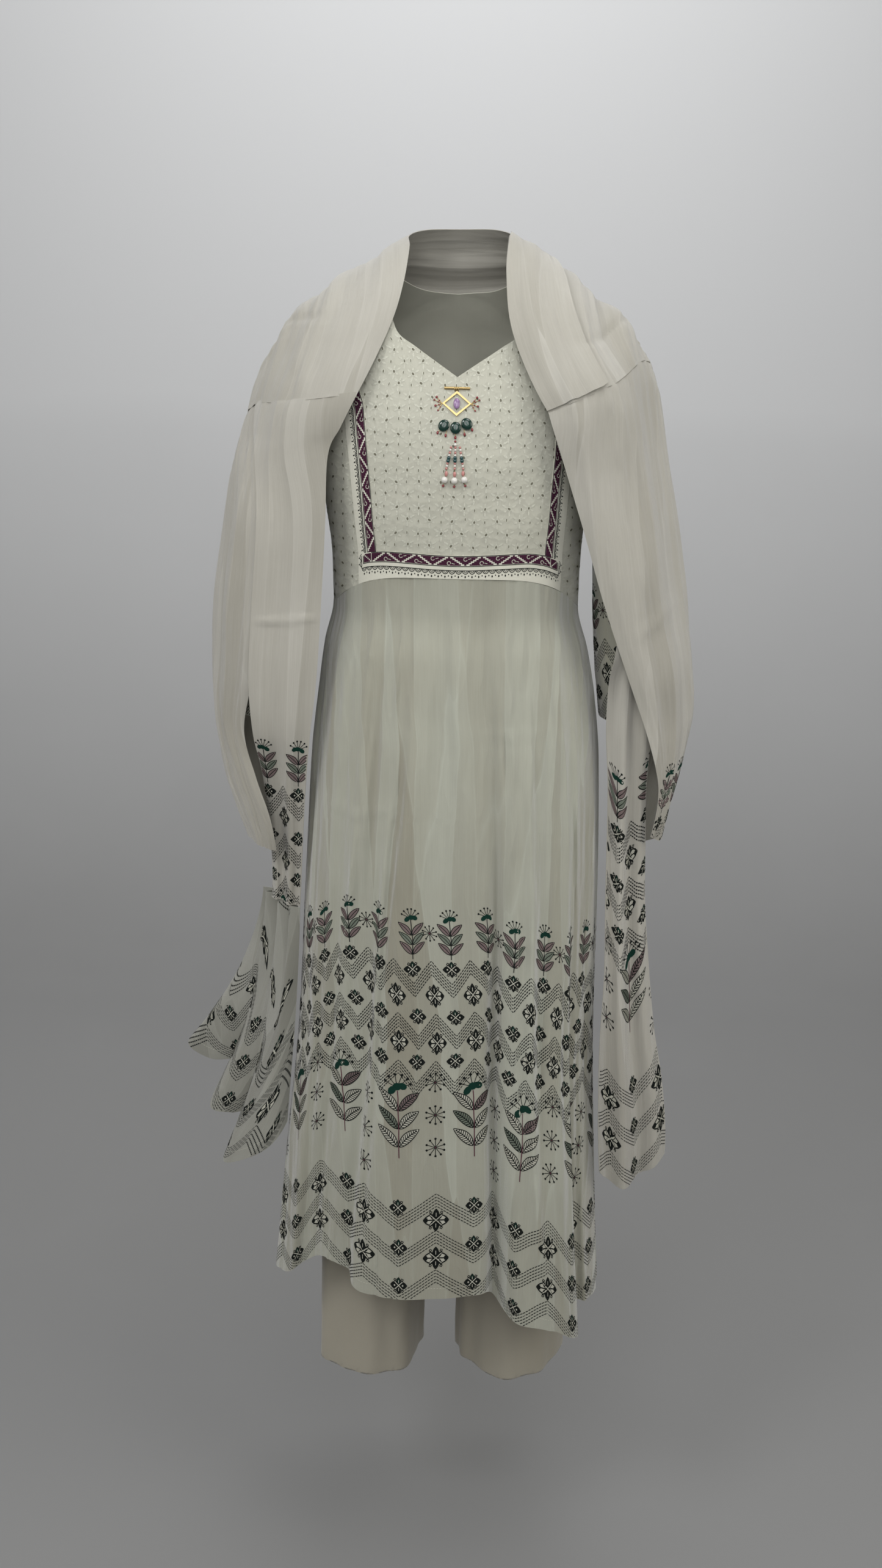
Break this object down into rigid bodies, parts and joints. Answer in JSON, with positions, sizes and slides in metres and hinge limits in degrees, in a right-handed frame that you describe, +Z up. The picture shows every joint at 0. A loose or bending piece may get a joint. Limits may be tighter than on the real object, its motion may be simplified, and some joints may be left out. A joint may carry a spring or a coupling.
{
  "type": "kurti set with dupatta",
  "caption": "Worn set of a long gathered kurti with a V neck and a bordered yoke, wide mid-calf trousers, and a dupatta laid behind the neck and down over both arms",
  "frame": {"origin": "midway between the neck points of the shoulder seams, where the wearer carries the set", "axes": "+Z up, -Y is the wearer's front, +X the wearer's left"},
  "size_m": [0.594, 0.3797, 1.333],
  "materials": {
    "eyelet_cloth": "fine cotton with small eyelets, soft sheen",
    "plain_cloth": "fine plain cotton, soft sheen",
    "plum_print": "block-printed cotton strip",
    "printed_cloth": "sheer muslin, soft sheen",
    "trouser_cloth": "plain cotton, matt",
    "scarf_cloth": "sheer silk and cotton weave, silky sheen",
    "scarf_print": "sheer silk and cotton weave, silky sheen",
    "gold": "polished",
    "violet_stone": "polished",
    "green_stone": "polished",
    "pearl": "pearly"
  },
  "bodies": {
    "root": {"bodice_front": "eyelet_cloth", "bodice_back": "plain_cloth", "border_left": "plum_print", "border_right": "plum_print", "border_bottom": "plum_print", "sleeve_left": "printed_cloth", "sleeve_right": "printed_cloth", "skirt_front": "printed_cloth", "skirt_back": "printed_cloth", "trouser_leg_left": "trouser_cloth", "trouser_leg_right": "trouser_cloth", "waistband": "trouser_cloth", "dupatta_neck": "scarf_cloth", "dupatta_band_right": "scarf_cloth", "dupatta_arm_left": "scarf_cloth", "dupatta_arm_right": "scarf_cloth", "dupatta_panel_left": "scarf_print", "dupatta_panel_right": "scarf_print", "dupatta_end_left": "scarf_print", "ornament_bar": "gold", "ornament_frame": "gold", "ornament_stone": "violet_stone", "ornament_leaf_1": "green_stone", "ornament_leaf_2": "green_stone", "ornament_leaf_3": "green_stone", "ornament_strand_1": "pearl", "ornament_strand_2": "pearl", "ornament_strand_3": "pearl", "ornament_pearl_1": "pearl", "ornament_pearl_2": "pearl", "ornament_pearl_3": "pearl"}
  },
  "joints": []
}
